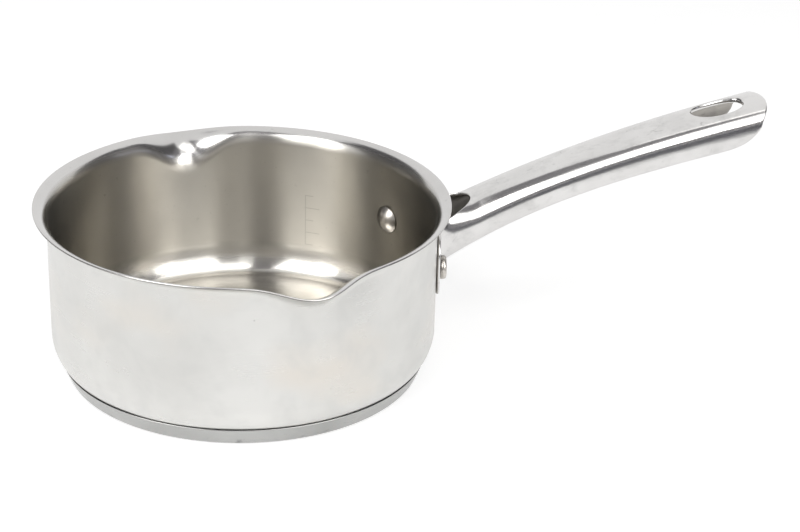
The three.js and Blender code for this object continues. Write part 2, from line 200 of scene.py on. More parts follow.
# Studio, in metres, with turns in degrees from the camera's side and heights in degrees
FRONT = -CAMERA_HEADING
FLOOR_HALF = 3.0
FLOOR_DROP = 0.0002
FLOOR_GLOW = 0.61
WORLD_FILL = 0.36
DARK_ROOM = (0.22, 0.215, 0.225)
DARK_SIDES = (0.11, 0.108, 0.112)
DARK_EDGE = (0.155, 0.155, 0.17)
OVERHEAD = (2.3, 2.28, 2.24)
WINDOW = (1.15, 1.2, 1.4)
HOT = (6.6, 6.5, 6.4)
ROOM_RADIUS = 2.5
PANEL_RADIUS = 2.4
HOT_RADIUS = 1.2
GAP_RADIUS = 1.05
CURTAIN_STEPS = (48, 16)
CURTAINS = [
    ("room_front", (-75, 75), (0.1, 14), DARK_ROOM, ROOM_RADIUS),
    ("room_gap", (-24.5, -2.5), (14, 86), DARK_ROOM, GAP_RADIUS),
    ("overhead", (-4, 92), (55, 78), OVERHEAD, PANEL_RADIUS),
    ("room_gap_high", (-55, -8), (60, 89.9), DARK_ROOM, ROOM_RADIUS),
    ("room_between", (8, 22), (14, 46), DARK_ROOM, ROOM_RADIUS),
    ("room_left", (-130, -75), (0.1, 60), DARK_SIDES, ROOM_RADIUS),
    ("room_right", (75, 122), (0.1, 54), DARK_SIDES, ROOM_RADIUS),
    ("window", (79, 88), (19, 32), WINDOW, PANEL_RADIUS),
    ("right_hot", (51, 62), (15, 45), HOT, HOT_RADIUS),
    ("left_hot", (-58, -45), (15, 60), HOT, HOT_RADIUS),
]
BOOM_HEIGHT = 0.2
BOOM = [
    (0.098, 0.06), (0.098, -0.062), (0.156, -0.093), (0.198, -0.096), (0.29, -0.068),
    (0.29, -0.046), (0.192, -0.023), (0.154, 0.015),
]
TABLE_EDGE_HEIGHT = 0.0003
TABLE_EDGE = [(0.14, -1.4), (2.2, -1.4), (2.2, -0.185), (0.14, -0.185)]
LAMPS = [
    ("left_softbox", -45, 48, 1.3, (0.72, 0.88), 7.4),
    ("right_softbox", 46, 31, 1.3, (0.86, 0.76), 5.5),
    ("top_softbox", 20, 61, 1.2, (0.46, 0.46), 1.2),
]

strap_inside = PAN_RADIUS + FIT_GAP
strap_outside = strap_inside + HANDLE_SHEET


def lerp(a, b, share):
    return a + (b - a) * share


def smoothstep(share):
    share = np.clip(share, 0, 1)
    return share * share * (3 - 2 * share)


def unit(vectors):
    return vectors / np.linalg.norm(vectors, axis=-1, keepdims=True)


def add_object(name, data):
    made = bpy.data.objects.new(name, data)
    bpy.context.scene.collection.objects.link(made)
    return made


class Skin:
    """Points and faces of one piece, gathered until its mesh is made."""

    def __init__(self):
        self.points = []
        self.faces = []
        self.finishes = []
        self.count = 0

    def add(self, points):
        """Takes an array of points and gives back an array of their numbers."""
        points = np.asarray(points, float)
        flat = points.reshape(-1, 3)
        numbers = np.arange(self.count, self.count + len(flat))
        self.points.append(flat)
        self.count += len(flat)
        return numbers.reshape(points.shape[:-1])

    def lay(self, faces, finish=0):
        self.faces += faces
        self.finishes += [finish] * len(faces)

    def grid(self, numbers, finish=0, wrap=False):
        """Quads over rows of point numbers; wrap joins the last column to the first."""
        if wrap:
            numbers = np.concatenate([numbers, numbers[:, :1]], axis=1)
        a, b = numbers[:-1, :-1], numbers[:-1, 1:]
        c, d = numbers[1:, 1:], numbers[1:, :-1]
        self.lay(np.stack([a, b, c, d], axis=-1).reshape(-1, 4).tolist(), finish)

    def fan(self, ring, centre, finish=0, flip=False):
        """Triangles from a ring of point numbers to one centre point."""
        middle = int(self.add([centre])[0])
        ring = list(ring)
        for a, b in zip(ring, ring[1:] + ring[:1]):
            self.lay([[middle, b, a] if flip else [middle, a, b]], finish)

    def piece(self, name, materials):
        mesh = bpy.data.meshes.new(name)
        points = np.concatenate(self.points) * MM
        mesh.from_pydata(points.tolist(), [], self.faces)
        mesh.polygons.foreach_set("material_index", self.finishes)
        mesh.polygons.foreach_set("use_smooth", [True] * len(mesh.polygons))
        facing = bmesh.new()
        facing.from_mesh(mesh)
        bmesh.ops.recalc_face_normals(facing, faces=facing.faces)
        facing.to_mesh(mesh)
        facing.free()
        mesh.update()
        for material in materials:
            mesh.materials.append(material)
        return add_object(name, mesh)


def arc(centre, radius, start, end, steps):
    """Points of an arc, the angle counted downwards from the outward direction."""
    angles = np.linspace(start, end, steps + 1)
    return np.stack([centre[0] + radius * np.cos(angles), centre[1] - radius * np.sin(angles)], -1)


def turned(skin, outline, steps):
    """A turned piece about the upright axis; its outline starts and ends on that axis."""
    turn = np.linspace(0, 2 * np.pi, steps, endpoint=False)
    inner = np.asarray(outline)[1:-1]
    rings = np.stack([
        inner[:, :1] * np.cos(turn),
        inner[:, :1] * np.sin(turn),
        np.repeat(inner[:, 1:], steps, axis=1),
    ], -1)
    numbers = skin.add(rings)
    skin.grid(numbers, wrap=True)
    skin.fan(numbers[0], (0, 0, outline[0][1]), flip=True)
    skin.fan(numbers[-1], (0, 0, outline[-1][1]))


# Shader maths

class Value:
    """A shader socket that can be added, multiplied and compared; each step adds a Math node."""

    def __init__(self, finish, socket):
        self.finish = finish
        self.socket = socket

    def math_node(self, operation, *values):
        return self.finish.node("ShaderNodeMath", {"operation": operation}, dict(enumerate(values)))

    def most(self, other):
        return self.math_node("MAXIMUM", self, other)

    def __add__(self, other):
        return self.math_node("ADD", self, other)

    def __sub__(self, other):
        return self.math_node("SUBTRACT", self, other)

    def __rsub__(self, other):
        return self.math_node("SUBTRACT", other, self)

    def __mul__(self, other):
        return self.math_node("MULTIPLY", self, other)

    def __gt__(self, other):
        return self.math_node("GREATER_THAN", self, other)

    def __lt__(self, other):
        return self.math_node("LESS_THAN", self, other)

    __radd__ = __add__
    __rmul__ = __mul__


class Finish:
    """A node tree being filled: a material's, or the world's."""

    def __init__(self, tree):
        self.tree = tree
        tree.nodes.clear()

    def node(self, kind, settings=None, sockets=None, out=0):
        """Adds a node: its settings first, then its sockets by name or number."""
        node = self.tree.nodes.new(kind)
        for name, setting in (settings or {}).items():
            setattr(node, name, setting)
        for name, value in (sockets or {}).items():
            if isinstance(value, Value):
                self.tree.links.new(value.socket, node.inputs[name])
            else:
                node.inputs[name].default_value = value
        return Value(self, node.outputs[out]) if len(node.outputs) else None

    def place(self):
        """The point on the piece, in metres, in the part's own frame."""
        return self.node("ShaderNodeTexCoord", out="Object")

    def split(self, vector):
        return [self.node("ShaderNodeSeparateXYZ", None, {0: vector}, out=i) for i in range(3)]

    def join(self, x, y, z):
        return self.node("ShaderNodeCombineXYZ", None, {0: x, 1: y, 2: z})

    def noise(self, vector, scale=1.0, detail=2.0, roughness=0.5):
        sockets = {"Vector": vector, "Scale": scale, "Detail": detail, "Roughness": roughness}
        return self.node("ShaderNodeTexNoise", None, sockets)

    def spread(self, value, band, low, high):
        """Maps a value within a band to the range from low to high, held at the ends."""
        sockets = {0: value, 1: band[0], 2: band[1], 3: low, 4: high}
        return self.node("ShaderNodeMapRange", {"clamp": True}, sockets)

    def mix(self, share, first, second):
        """A colour between two others."""
        sockets = {0: share, 6: first, 7: second}
        return self.node("ShaderNodeMix", {"data_type": "RGBA"}, sockets, out=2)

    def mix_shaders(self, share, first, second):
        return self.node("ShaderNodeMixShader", None, {0: share, 1: first, 2: second})


def shade(red, green, blue):
    return (red, green, blue, 1.0)


def darker(colour, share):
    return shade(*[share * part for part in colour[:3]])


def metres(band):
    return [edge * MM for edge in band]


def new_finish(name):
    material = bpy.data.materials.new(name)
    material.use_nodes = True
    return material, Finish(material.node_tree)


def finish_with(f, shader):
    f.node("ShaderNodeOutputMaterial", None, {"Surface": shader})


def steel_shader(f, colour, rough, height, relief, stretch=0.0, edge=1.0):
    """Metal with fine relief, its highlights drawn out across the lines by stretch.

    The edge is how much of the light it still mirrors where it is seen almost along its face; set below
    1 it is painted shade that dims the steel there.
    """
    bump = f.node("ShaderNodeBump", None, {
        "Strength": BUMP_STRENGTH,
        "Distance": relief * MM,
        "Height": height,
    })
    return f.node("ShaderNodeBsdfPrincipled", None, {
        "Base Color": colour,
        "Metallic": 1.0,
        "Roughness": rough,
        "Normal": bump,
        "Anisotropic": stretch,
        "Anisotropic Rotation": QUARTER_TURN,
        "Specular Tint": shade(edge, edge, edge),
    })


class RoundLines:
    """Noises of steel that was worked in circles about the upright axis."""

    def __init__(self, f):
        self.f = f
        place = f.place()
        x, y, self.height = f.split(place)
        self.radius = x.math_node("SQRT", x * x + y * y)
        self.turn = x.math_node("ARCTAN2", y, x)
        climb = self.radius + self.height

        def drawn_out(along, across):
            return f.noise(f.join(x * along, y * along, climb * across))

        line = drawn_out(*LINE_SCALES)
        streak = drawn_out(*STREAK_SCALES)
        self.ridges = line * 0.6 + streak * 0.4
        self.uneven = (line - 0.5) * 0.06 + (streak - 0.5) * 0.08
        self.cloud = f.noise(place, 24.0, 3.0, 0.55)
        self.scuff = f.noise(place, 330.0, 2.0, 0.7)

    def shader(
        self, colour, stain, roughness,
        wear=0.06, relief=SATIN_RELIEF, grain=1.0, stretch=0.0, edge=1.0, etched=0.0,
    ):
        """The steel's shader; etched is a mask of marks that are cut dull and dark into it."""
        f = self.f
        dark = darker(stain, 0.7)
        clean = f.mix(f.spread(self.cloud, CLOUDED, 0.0, 1.0), colour, stain)
        worn = f.mix(f.spread(self.scuff, SCUFFED, 0.0, 0.5), clean, dark)
        marked = f.mix(etched, worn, dark)
        rough = roughness + self.uneven * grain + (self.cloud - 0.5) * wear
        return steel_shader(f, marked, rough, self.ridges, relief, stretch, edge)


def steel(name, *look, **more):
    """Stainless steel with fine lines that run round the upright axis."""
    material, f = new_finish(name)
    finish_with(f, RoundLines(f).shader(*look, **more))
    return material


def measure_marks(lines):
    """A mask of the measuring scale on the inner wall: an upright line with a tick for each level."""
    def between(value, low, high):
        return (value > low) * (value < high)

    thick = SCALE_LINE / PAN_RADIUS
    upright = between(lines.turn, SCALE_TURN - thick, SCALE_TURN)
    mask = upright * between(lines.height, SCALE_LEVELS[0] * MM, SCALE_LEVELS[-1] * MM)
    for i, level in enumerate(SCALE_LEVELS):
        reach = (SCALE_LONG_TICK if i % 2 else SCALE_SHORT_TICK) / PAN_RADIUS
        tick = between(lines.height, (level - SCALE_LINE) * MM, level * MM)
        mask = mask.most(tick * between(lines.turn, SCALE_TURN - reach, SCALE_TURN))
    return mask


def inside_steel(name):
    """The inside of the pan: brushed wall darkened by painted shade, smoother floor and polished lip,
    one into the next.
    """
    material, f = new_finish(name)
    lines = RoundLines(f)
    # The wall's steel is darker than the floor's and the lip's, and its low edge dims it where it is
    # seen almost along its face: both are painted shade in the pan's hollow, over a real brushed
    # finish.
    wall = lines.shader(
        shade(0.52, 0.50, 0.456), shade(0.46, 0.44, 0.40), 0.31,
        relief=WALL_RELIEF, grain=0.6, stretch=0.9, edge=0.08, etched=measure_marks(lines) * 0.6,
    )
    floor = lines.shader(
        shade(0.72, 0.70, 0.66), shade(0.66, 0.64, 0.60), 0.19,
        relief=FLOOR_RELIEF, stretch=1.0, edge=0.5,
    )
    lip = lines.shader(shade(0.62, 0.61, 0.60), shade(0.57, 0.56, 0.55), 0.18)
    past_wall = [PAN_RADIUS - PAN_SHEET + reach for reach in LIP_BAND]
    flared = f.spread(lines.radius, metres(past_wall), 0.0, 1.0)
    low = f.spread(lines.height, metres(FLOOR_BAND), 1.0, 0.0)
    finish_with(f, f.mix_shaders(flared, f.mix_shaders(low, wall, floor), lip))
    return material


def base_steel(name):
    """The capsule's turned steel, scuffed dark along its lower edge."""
    material, f = new_finish(name)
    lines = RoundLines(f)
    knocks = f.spread(f.noise(f.place(), 210.0, 3.0, 0.6), (0.58, 0.68), 0.0, 0.9)
    lower_edge = f.spread(lines.height, metres(KNOCK_BAND), 1.0, 0.0)
    finish_with(f, lines.shader(
        shade(0.45, 0.45, 0.44), shade(0.36, 0.36, 0.35), 0.3,
        wear=0.1, relief=BASE_RELIEF, etched=knocks * lower_edge,
    ))
    return material


def outside_steel(name):
    """The outside of the pan: satin steel with wiped smears, warm patches at random and a few pits."""
    material, f = new_finish(name)
    lines = RoundLines(f)
    place = f.place()
    x, y, z = f.split(place)
    bent = f.noise(place, 18.0)
    smear = f.noise(f.join(x + bent * 0.03, y - bent * 0.02, z + bent * 0.04), 55.0, 3.0, 0.6)
    warm = f.noise(f.join(x, y, z * 1.6 + 0.7), 17.0)
    pits = {"Vector": place, "Scale": PIT_SCALE}
    from_pit = f.node("ShaderNodeTexVoronoi", None, pits, out="Distance")
    pit_draw = f.node("ShaderNodeTexVoronoi", None, pits, out="Color")
    rare = f.split(pit_draw)[0] > 0.93
    pale = shade(0.68, 0.675, 0.655)
    grey = shade(0.61, 0.605, 0.585)
    satin = f.mix(f.spread(lines.cloud, CLOUDED, 0.0, 1.0), pale, grey)
    warm_patched = f.mix(f.spread(warm, (0.52, 0.72), 0.0, 0.8), satin, shade(0.67, 0.635, 0.585))
    wiped = f.mix(f.spread(smear, (0.5, 0.7), 0.0, 0.45), warm_patched, shade(0.57, 0.57, 0.555))
    pitted = f.spread(from_pit, (0.015, 0.04), 0.6, 0.0) * rare
    worn = f.mix(pitted, wiped, shade(0.33, 0.32, 0.31))
    rough = 0.3 + lines.uneven + (smear - 0.5) * 0.14
    finish_with(f, steel_shader(f, worn, rough, lines.ridges, SATIN_RELIEF))
    return material


def polished_steel(name, colour, stain, roughness, swell=0.0):
    """Bright steel with a lengthwise polish, soft stains, faint scratches and a swell from pressing."""
    material, f = new_finish(name)
    place = f.place()
    x, y, z = f.split(place)
    along, across = GRAIN_SCALES
    grain = f.noise(f.join(x * along, y * across, z * across))
    cloud = f.noise(place, 38.0, 3.0, 0.55)
    mottle = f.noise(f.join(x * 0.6, y, z), 150.0, 4.0, 0.65)
    scuff = f.noise(place, 300.0, 2.0, 0.7)
    wave = f.noise(f.join(x * 0.5, y, z), 130.0, 1.0)
    trail = f.noise(place, 70.0, 1.0) - 0.5
    from_trail = trail.math_node("ABSOLUTE", trail)
    scratch = f.spread(from_trail, (0.002, 0.005), 0.5, 0.0) * (mottle > 0.56)
    clean = f.mix(f.spread(cloud, (0.4, 0.7), 0.0, 1.0), colour, stain)
    dull = f.mix(f.spread(mottle, (0.48, 0.74), 0.0, 0.55), clean, darker(stain, 0.78))
    worn = f.mix(f.spread(scuff, SCUFFED, 0.0, 0.5), dull, darker(stain, 0.7))
    scratched = f.mix(scratch, worn, darker(stain, 0.6))
    rough = roughness + (grain - 0.5) * 0.05 + (cloud - 0.5) * 0.08 + (mottle - 0.5) * 0.12
    finish_with(f, steel_shader(f, scratched, rough, grain + wave * swell, POLISH_RELIEF))
    return material


outside_satin = outside_steel("outside_satin")
inside_satin = inside_steel("inside_satin")
# A duller strip on the lower half of the lip's rounded edge; its dark colour is a painted shade line
# along the lip
shade_line_edge = steel("shade_line_edge", shade(0.26, 0.25, 0.23), shade(0.20, 0.19, 0.18), 0.45)
base_turned = base_steel("base_turned")
handle_polish = polished_steel(
    "handle_polish", shade(0.71, 0.70, 0.69), shade(0.64, 0.63, 0.62), 0.17, swell=90.0,
)
# The tube's inside is rougher than its outside, which is real, and much darker, which is painted shade
# in the hollow tube and round the mouth's rim
shaded_handle_inside = polished_steel("shaded_handle_inside", shade(0.42, 0.40, 0.37), shade(0.34, 0.32, 0.30), 0.42)
rivet_polish = polished_steel("rivet_polish", shade(0.60, 0.57, 0.53), shade(0.50, 0.47, 0.43), 0.3)
core_grey = steel("core_grey", shade(0.55, 0.56, 0.57), shade(0.48, 0.49, 0.50), 0.5, wear=0.1)

# Places of a finish in its piece's list of materials
OUTSIDE = 0
INSIDE = 1
SHADE_LINE = 2


# Pan body

corner_turn = math.acos(1 - SEAM_INSET / CORNER_RADIUS)
corner_centre = (PAN_RADIUS - CORNER_RADIUS, SEAM_HEIGHT + CORNER_RADIUS * math.sin(corner_turn))
heel_radius = (SEAM_HEIGHT - PAN_UNDERSIDE) / (1 - math.sin(corner_turn))
heel_centre = (
    PAN_RADIUS - SEAM_INSET - heel_radius * math.cos(corner_turn),
    PAN_UNDERSIDE + heel_radius,
)


def spout_at(theta):
    """How far the lip is drawn out into a spout at an angle about the pan's axis."""
    away = np.arccos(np.clip(np.abs(np.sin(theta)), 0, 1))
    crest = np.cos(np.pi / 2 * np.minimum(away / SPOUT_HALF_ANGLE, 1))
    return crest ** SPOUT_SHARPNESS


def shell_face(theta, inset):
    """One face of the shell at an angle, from the floor's edge to the lip; inset is 0 outside."""
    spout = float(spout_at(theta))
    turn = lerp(LIP_TURN, SPOUT_TURN, spout)
    reach = lerp(LIP_REACH, SPOUT_REACH, spout)
    flare_radius = reach / (1 - math.cos(turn))
    flare_start = lerp(LIP_HEIGHT, SPOUT_HEIGHT, spout) - flare_radius * math.sin(turn)
    heel = arc(heel_centre, heel_radius - inset, math.pi / 2, corner_turn, HEEL_STEPS)
    corner = arc(corner_centre, CORNER_RADIUS - inset, corner_turn, 0, CORNER_STEPS)[1:]
    wall_top = (PAN_RADIUS - inset, flare_start)
    wall = np.linspace(corner[-1], wall_top, WALL_STEPS)[1:-1]
    flare_centre = (PAN_RADIUS + flare_radius, flare_start)
    short = PAN_SHEET / 2 / flare_radius
    flare = arc(flare_centre, flare_radius + inset, math.pi, math.pi + turn - short, FLARE_STEPS)
    return np.concatenate([heel, corner, wall, flare])


def lip_round(outer, inner):
    """The rounded edge of the sheet between the lip's two faces."""
    middle = (outer[-1] + inner[-1]) / 2
    half = (outer[-1] - inner[-1]) / 2
    ahead = np.array([-half[1], half[0]])
    if np.dot(ahead, outer[-1] - outer[-2]) < 0:
        ahead = -ahead
    angles = np.linspace(0, np.pi, EDGE_STEPS + 1)[1:-1, None]
    return middle + half * np.cos(angles) + ahead * np.sin(angles)


def make_pan_body():
    sections = []
    thetas = np.linspace(0, 2 * np.pi, PAN_STEPS, endpoint=False)
    for theta in thetas:
        outer = shell_face(theta, 0)
        inner = shell_face(theta, PAN_SHEET)
        sections.append(np.concatenate([outer, lip_round(outer, inner), inner[::-1]]))
    face_count = len(outer)
    sections = np.stack(sections, 1)
    rings = np.stack([
        sections[..., 0] * np.cos(thetas),
        sections[..., 0] * np.sin(thetas),
        sections[..., 1],
    ], -1)
    skin = Skin()
    numbers = skin.add(rings)
    lip_middle = face_count + EDGE_STEPS // 2 - 1
    skin.grid(numbers[:face_count], OUTSIDE, wrap=True)
    # The lower half of the lip's rounded edge takes the painted shade line
    skin.grid(numbers[face_count - 1:lip_middle + 1], SHADE_LINE, wrap=True)
    skin.grid(numbers[lip_middle:], INSIDE, wrap=True)
    shares = np.linspace(1, 0, PAN_FLOOR_RINGS)[1:-1]
    floor = rings[-1][None] * np.stack([shares, shares, np.ones_like(shares)], -1)[:, None]
    floor_numbers = np.concatenate([numbers[-1:], skin.add(floor)])
    skin.grid(floor_numbers, INSIDE, wrap=True)
    skin.fan(floor_numbers[-1], (0, 0, rings[-1][0, 2]), INSIDE)
    skin.fan(numbers[0], (0, 0, PAN_UNDERSIDE), OUTSIDE, flip=True)
    return skin.piece("pan_shell", [outside_satin, inside_satin, shade_line_edge])


# Base

cap_top = SEAM_HEIGHT - CAP_SEAM_LINE
cap_top_radius = PAN_RADIUS - SEAM_INSET + CAP_OVERHANG


def cap_side(height, inset):
    """Radius of the cap's slanted side at a height, moved in by an inset square to it."""
    slope = (cap_top - height) * math.tan(CAP_SLANT)
    return cap_top_radius - slope - inset / math.cos(CAP_SLANT)


def make_base_cap():
    edge_height = CAP_EDGE_RADIUS * (1 - math.sin(CAP_SLANT))
    edge_top = (cap_side(edge_height, 0), edge_height)
    edge_centre = (edge_top[0] - CAP_EDGE_RADIUS * math.cos(CAP_SLANT), CAP_EDGE_RADIUS)
    bevel_foot = cap_top - CAP_EDGE_BEVEL
    outline = np.concatenate([
        [(0, 0)],
        np.linspace((CAP_MIDDLE, 0), (edge_centre[0], 0), CAP_FLOOR_RINGS)[:-1],
        arc(edge_centre, CAP_EDGE_RADIUS, math.pi / 2, CAP_SLANT, CAP_EDGE_STEPS),
        np.linspace(edge_top, (cap_top_radius, cap_top), CAP_SIDE_STEPS)[1:],
        [(cap_side(bevel_foot, CAP_SHEET), bevel_foot)],
        arc(edge_centre, CAP_EDGE_RADIUS - CAP_SHEET, CAP_SLANT, math.pi / 2, CAP_INNER_STEPS),
        [(edge_centre[0] / 2, CAP_SHEET), (0, CAP_SHEET)],
    ])
    skin = Skin()
    turned(skin, outline, CAP_STEPS)
    return skin.piece("capsule_base", [base_turned])


# Handle

def on_handle(point):
    return np.array([PAN_RADIUS + point[0], HANDLE_HEIGHT + point[1]])


handle_root = on_handle(HANDLE_ROOT)
handle_tip = on_handle(HANDLE_TIP)
root_aim = np.array([math.cos(HANDLE_ROOT_SLOPE), math.sin(HANDLE_ROOT_SLOPE)])
tip_aim = np.array([math.cos(HANDLE_TIP_SLOPE), math.sin(HANDLE_TIP_SLOPE)])
centre_line = [
    handle_root,
    handle_root + root_aim * HANDLE_REACH,
    handle_tip - tip_aim * HANDLE_REACH,
    handle_tip,
]


def tube_frame(t):
    """Centre, aim and half sizes of the tube at a station."""
    t = np.asarray(t, float)[..., None]
    p0, p1, p2, p3 = centre_line
    s = 1 - t
    centre = s ** 3 * p0 + 3 * s * s * t * p1 + 3 * s * t * t * p2 + t ** 3 * p3
    ahead = unit(s * s * (p1 - p0) + 2 * s * t * (p2 - p1) + t * t * (p3 - p2))
    t = t[..., 0]
    waist = 27 / 4 * t * (1 - t) ** 2
    half_width = (lerp(ROOT_WIDTH, TIP_WIDTH, t) - WAIST_WIDTH * waist) / 2
    half_depth = (lerp(ROOT_DEPTH, TIP_DEPTH, t) - WAIST_DEPTH * waist) / 2
    return centre, ahead, half_width, half_depth


def fillet_spread(x):
    """How far the tube has opened sideways towards the ears."""
    short = np.clip(strap_outside + ROOT_FILLET - x, 0, ROOT_FILLET)
    return ROOT_FILLET - np.sqrt(ROOT_FILLET ** 2 - short ** 2)


def tube_point(t, angle):
    """A point of the tube's outside and its distance out before the bend round the pan."""
    centre, ahead, half_width, half_depth = tube_frame(t)
    cos, sin = np.cos(angle), np.sin(angle)
    reach = (np.abs(cos) ** TUBE_POWER + np.abs(sin) ** TUBE_POWER) ** (-1 / TUBE_POWER)
    side, rise = cos * reach, sin * reach
    x = centre[..., 0] - ahead[..., 1] * half_depth * rise
    z = centre[..., 1] + ahead[..., 0] * half_depth * rise
    spread = fillet_spread(x)
    y = side * (half_width + spread)
    hood = ROOT_RISE * smoothstep((strap_outside + RISE_LENGTH - x) / RISE_LENGTH)
    z = z + rise * np.where(rise < 0, spread * ROOT_DROP / ROOT_FILLET, hood)
    fade = smoothstep((strap_outside + BEND_FADE - x) / BEND_FADE)
    bend = strap_outside - np.sqrt(strap_outside ** 2 - y ** 2)
    return np.stack([x - fade * bend, y, z], -1), x


def slot_angle(t):
    """Half the opening angle of the seam underneath."""
    centre, ahead, half_width, half_depth = tube_frame(t)
    spread = fillet_spread(centre[..., 0] + ahead[..., 1] * half_depth)
    return np.arctan((SEAM_SLOT / 2 + HANDLE_EDGE) / (half_width + spread))


def sweep_reach(z):
    """How far out the swept-back tip reaches at a height: a smooth curve through its points."""
    points = np.array([on_handle(p) for p in TIP_SWEEP])
    ends = np.concatenate([2 * points[:1] - points[1:2], points, 2 * points[-1:] - points[-2:-1]])
    share = np.linspace(0, 1, SWEEP_STEPS, endpoint=False)[:, None]
    curve = []
    for a, b, c, d in zip(ends, ends[1:], ends[2:], ends[3:]):
        bow = (2 * a - 5 * b + 4 * c - d) * share ** 2 + (3 * b - a - 3 * c + d) * share ** 3
        curve.append(b + ((c - a) * share + bow) / 2)
    curve = np.concatenate(curve)
    return np.interp(z, curve[:, 1], curve[:, 0])


def ear_edge(start):
    """Where a line from the root's middle through a point leaves the ears' outline."""
    aim = start - np.array([0, HANDLE_HEIGHT])
    half = np.array([STRAP_WIDTH, STRAP_DEPTH]) / 2
    shares = np.linspace(1, EAR_SEARCH_REACH, EAR_SEARCH_STEPS)[:, None]
    away = np.abs(aim * shares) - (half - STRAP_CORNER)
    outside = np.linalg.norm(np.maximum(away, 0), axis=-1) - STRAP_CORNER
    inside = outside < 0
    last = int(np.argmin(inside)) if not inside.all() else len(shares) - 1
    return np.array([0, HANDLE_HEIGHT]) + aim * shares[last]


def handle_row(share):
    """One line along the handle's outside, from its edge at the pan to its edge at the tip."""
    t = np.linspace(0, 1, STATIONS)
    gap = slot_angle(t)
    angle = lerp(-np.pi / 2 + gap, 1.5 * np.pi - gap, share)
    points, flat_x = tube_point(t, angle)
    x, y, z = points.T
    past_root = flat_x - strap_outside
    bulge = np.sqrt(np.clip(1 - (y / TIP_HALF_WIDTH) ** 2, 0, 1))
    short = np.minimum(PAN_RADIUS + TIP_SIDE + TIP_BULGE * bulge, sweep_reach(z)) - x
    middle = len(t) // 2
    start = middle - int(np.argmax(past_root[middle::-1] < 0))
    end = middle + int(np.argmax(short[middle:] < 0))
    root_share = past_root[start] / (past_root[start] - past_root[start + 1])
    tip_share = short[end - 1] / (short[end - 1] - short[end])
    first = lerp(points[start], points[start + 1], root_share)
    last = lerp(points[end - 1], points[end], tip_share)
    run = np.linspace(ear_edge(first[1:]), first[1:], EAR_STEPS)[:-1]
    ear = np.stack([np.sqrt(strap_outside ** 2 - run[:, 0] ** 2), run[:, 0], run[:, 1]], -1)
    line = np.concatenate([ear, [first], points[start + 1:end], [last]])
    steps = np.linalg.norm(np.diff(line, axis=0), axis=1)
    line = line[np.concatenate([[True], steps > SAME_POINT])]
    along = np.concatenate([[0], np.cumsum(np.linalg.norm(np.diff(line, axis=0), axis=1))])
    even = np.linspace(0, 1, HANDLE_COLUMNS)
    crowded = lerp(even, even ** 2, ROOT_CROWDING)
    tip_edge = 1.5 * HANDLE_EDGE
    places = lerp(HANDLE_EDGE, along[-1] - tip_edge, crowded)
    return np.stack([np.interp(places, along, line[:, i]) for i in range(3)], -1)


def past_mouth(points):
    """Above 0 where the sheet is kept, below 0 inside the mouth's half oval."""
    x, y, z = points.T
    along = (x - PAN_RADIUS - MOUTH_BACK) / (MOUTH_END - MOUTH_BACK + HANDLE_EDGE)
    across = y / (MOUTH_HALF_WIDTH + HANDLE_EDGE)
    outside = np.hypot(np.maximum(along, 0), across) - 1
    return np.maximum(outside * MOUTH_HALF_WIDTH, HANDLE_HEIGHT + MOUTH_FLOOR - z)


def trim(points, faces, kept):
    """Cuts a sheet's faces along the line where kept passes 0."""
    points = list(points)
    cuts = {}

    def crossing(a, b):
        key = (min(a, b), max(a, b))
        if key not in cuts:
            cuts[key] = len(points)
            points.append(lerp(points[a], points[b], kept[a] / (kept[a] - kept[b])))
        return cuts[key]

    trimmed = []
    for face in faces:
        loop = []
        for a, b in zip(face, face[1:] + face[:1]):
            if kept[a] > 0:
                loop.append(a)
            if (kept[a] > 0) != (kept[b] > 0):
                loop.append(crossing(a, b))
        if len(loop) > 2:
            trimmed.append(loop)
    return np.array(points), trimmed


def open_loops(faces):
    """Loops of point numbers along a sheet's open edges."""
    edges = {(a, b) for face in faces for a, b in zip(face, face[1:] + face[:1])}
    follow = {a: b for a, b in edges if (b, a) not in edges}
    loops = []
    while follow:
        start, place = follow.popitem()
        loop = [start]
        while place != start:
            loop.append(place)
            place = follow.pop(place)
        loops.append(loop)
    return loops


def point_normals(points, faces):
    """A normal for each point, from the faces round it."""
    total = np.zeros_like(points)
    for sides in (3, 4, 5):
        group = np.array([face for face in faces if len(face) == sides], int).reshape(-1, sides)
        corners = points[group]
        square = np.cross(corners, np.roll(corners, -1, axis=1)).sum(axis=1)
        for i in range(sides):
            np.add.at(total, group[:, i], square)
    return unit(total)


def top_height(x, y):
    """Height of the tube's top over a point of its plan, away from the root."""
    low, high = [np.full_like(x, station) for station in TOP_STATIONS]
    for _ in range(HALVINGS):
        t = (low + high) / 2
        centre, ahead, half_width, half_depth = tube_frame(t)
        rise = np.clip(1 - np.abs(y / half_width) ** TUBE_POWER, 0, 1) ** (1 / TUBE_POWER)
        short = centre[..., 0] - ahead[..., 1] * half_depth * rise < x
        low, high = np.where(short, t, low), np.where(short, high, t)
    return centre[..., 1] + ahead[..., 0] * half_depth * rise


def under_top(plan, depth):
    """Points of a plan, laid at a depth under the tube's top."""
    height = top_height(plan[:, 0], plan[:, 1]) - depth
    return np.concatenate([plan, height[:, None]], 1)


def hole_oval(around, margin):
    """Plan of the hang hole's outline at the given turns, grown by a margin."""
    cos, sin = np.cos(around), np.sin(around)
    reach = (np.abs(cos) ** HOLE_POWER + np.abs(sin) ** HOLE_POWER) ** (-1 / HOLE_POWER)
    x = PAN_RADIUS + HOLE_CENTRE + (HOLE_HALF_LENGTH + margin) * cos * reach
    return np.stack([x, (HOLE_HALF_WIDTH + margin) * sin * reach], -1)


